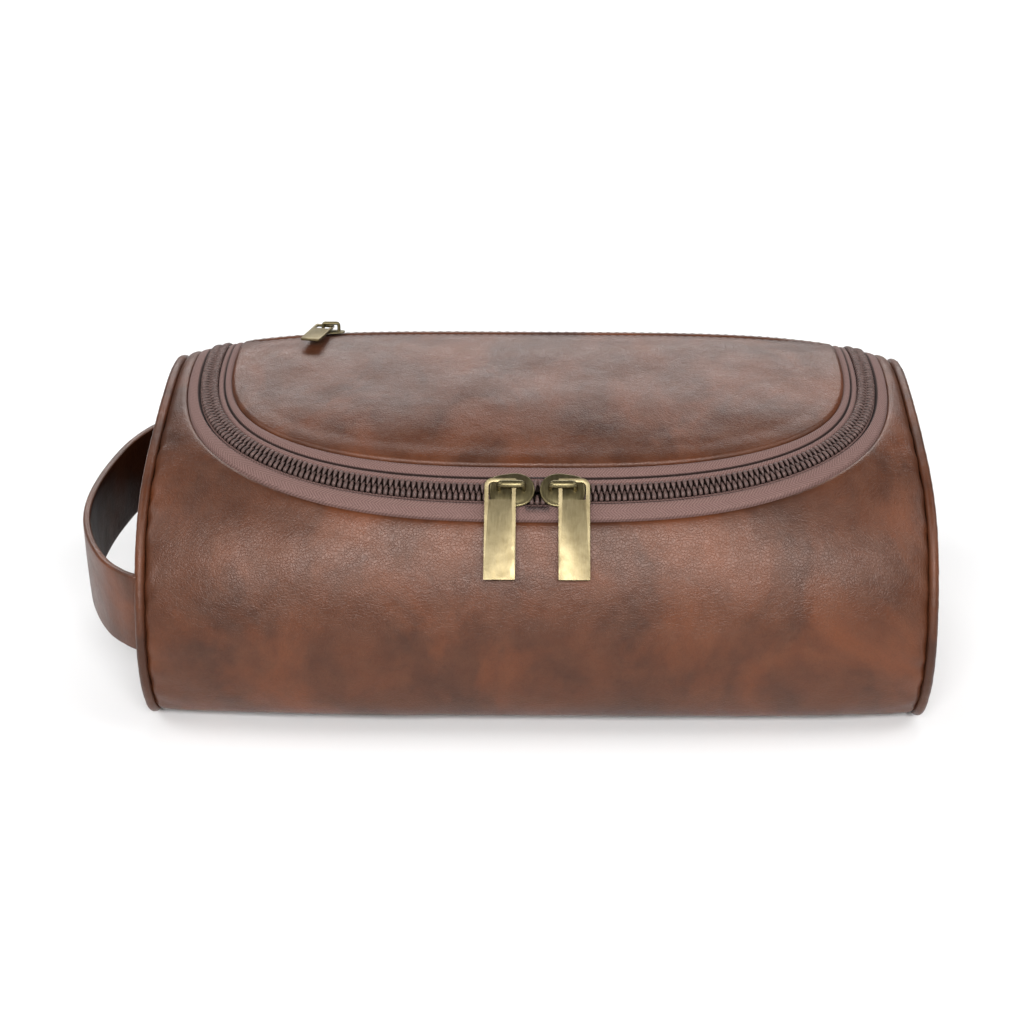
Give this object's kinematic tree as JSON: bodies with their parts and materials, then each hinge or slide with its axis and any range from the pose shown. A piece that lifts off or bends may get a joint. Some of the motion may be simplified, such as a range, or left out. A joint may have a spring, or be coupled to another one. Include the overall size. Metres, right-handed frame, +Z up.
{
  "type": "shaving kit bag",
  "caption": "Soft leather shaving kit bag with piped ends, a U-zipped hinged lid, a zipped lid pocket and a wrist strap loop on one end.",
  "frame": {"origin": "middle of the flat base, on the surface that the bag stands on", "axes": "+X along the bag's length, away from the strap; the front faces -Y; +Z up"},
  "size_m": [0.2904, 0.1448, 0.1033],
  "materials": {
    "leather": "semi-matt mottled pull-up grain, fine pebble",
    "piping_leather": "semi-matt, rolled over a cord",
    "lining_fabric": "plain woven polyester, dull",
    "binding_tape": "ribbed binding, dull",
    "zip_tape": "herringbone woven polyester, dull mauve brown",
    "zip_coil": "moulded nylon coil, slight gloss",
    "antique_brass": "brushed and darkened, bright worn edges",
    "stiffener_board": "plain, hidden"
  },
  "bodies": {
    "root": {"body_wrap": "leather", "body_lining": "lining_fabric", "end_panel_left": "leather", "end_panel_right": "leather", "piping_left": "piping_leather", "piping_right": "piping_leather", "end_lining_left": "lining_fabric", "end_lining_right": "lining_fabric", "seam_binding_left": "binding_tape", "seam_binding_right": "binding_tape", "base_board": "stiffener_board", "hinge_tape": "binding_tape", "zip_tape_body": "zip_tape", "zip_coil_body": "zip_coil"},
    "lid": {"lid_panel": "leather", "lid_back_strip": "leather", "lid_lining": "lining_fabric", "lid_pocket_sheet": "lining_fabric", "zip_tape_lid": "zip_tape", "zip_coil_lid_left": "zip_coil", "zip_coil_lid_right": "zip_coil", "pocket_tape_front": "zip_tape", "pocket_tape_back": "zip_tape", "pocket_coil_front": "zip_coil", "pocket_coil_back": "zip_coil", "pocket_stop_left": "antique_brass", "pocket_stop_right": "antique_brass"},
    "slider_left": {"slider_left": "antique_brass"},
    "slider_right": {"slider_right": "antique_brass"},
    "pull_left": {"pull_left": "antique_brass"},
    "pull_right": {"pull_right": "antique_brass"},
    "pocket_slider": {"pocket_slider": "antique_brass"},
    "pocket_pull": {"pocket_pull": "antique_brass"},
    "wrist_strap": {"wrist_strap": "leather"}
  },
  "joints": [
    {"name": "lid_hinge", "type": "hinge", "parent": "root", "child": "lid", "pos_m": [0, 0.0641, 0.08835], "axis": [-1, 0, 0], "range_deg": [0, 125]},
    {"name": "slider_left_travel", "type": "hinge", "parent": "root", "child": "slider_left", "pos_m": [-0.01606, 0.15649, 0.17992], "axis": [-0.0042, 0.434, -0.9009], "range_deg": [0, 10.5]},
    {"name": "slider_right_travel", "type": "hinge", "parent": "root", "child": "slider_right", "pos_m": [0.01606, 0.15649, 0.17992], "axis": [-0.0042, -0.434, 0.9009], "range_deg": [0, 10.5]},
    {"name": "pull_left_swing", "type": "hinge", "parent": "slider_left", "child": "pull_left", "pos_m": [-0.0125, -0.04854, 0.08582], "axis": [0.001, 0.7818, -0.6236], "range_deg": [-8, 75]},
    {"name": "pull_right_swing", "type": "hinge", "parent": "slider_right", "child": "pull_right", "pos_m": [0.0125, -0.04854, 0.08582], "axis": [0.001, -0.7818, 0.6236], "range_deg": [-8, 75]},
    {"name": "pocket_slider_travel", "type": "slide", "parent": "lid", "child": "pocket_slider", "axis": [1, 0, 0], "range_m": [0, 0.152]},
    {"name": "pocket_pull_swing", "type": "hinge", "parent": "pocket_slider", "child": "pocket_pull", "pos_m": [-0.07873, 0.04846, 0.10122], "axis": [0, -0.0982, -0.9952], "range_deg": [-45, 45]},
    {"name": "strap_swing", "type": "hinge", "parent": "root", "child": "wrist_strap", "pos_m": [-0.132, 0, 0.0435], "axis": [0, 1, 0], "range_deg": [-33, 34], "stiffness_Nm_per_rad": 0.04}
  ]
}
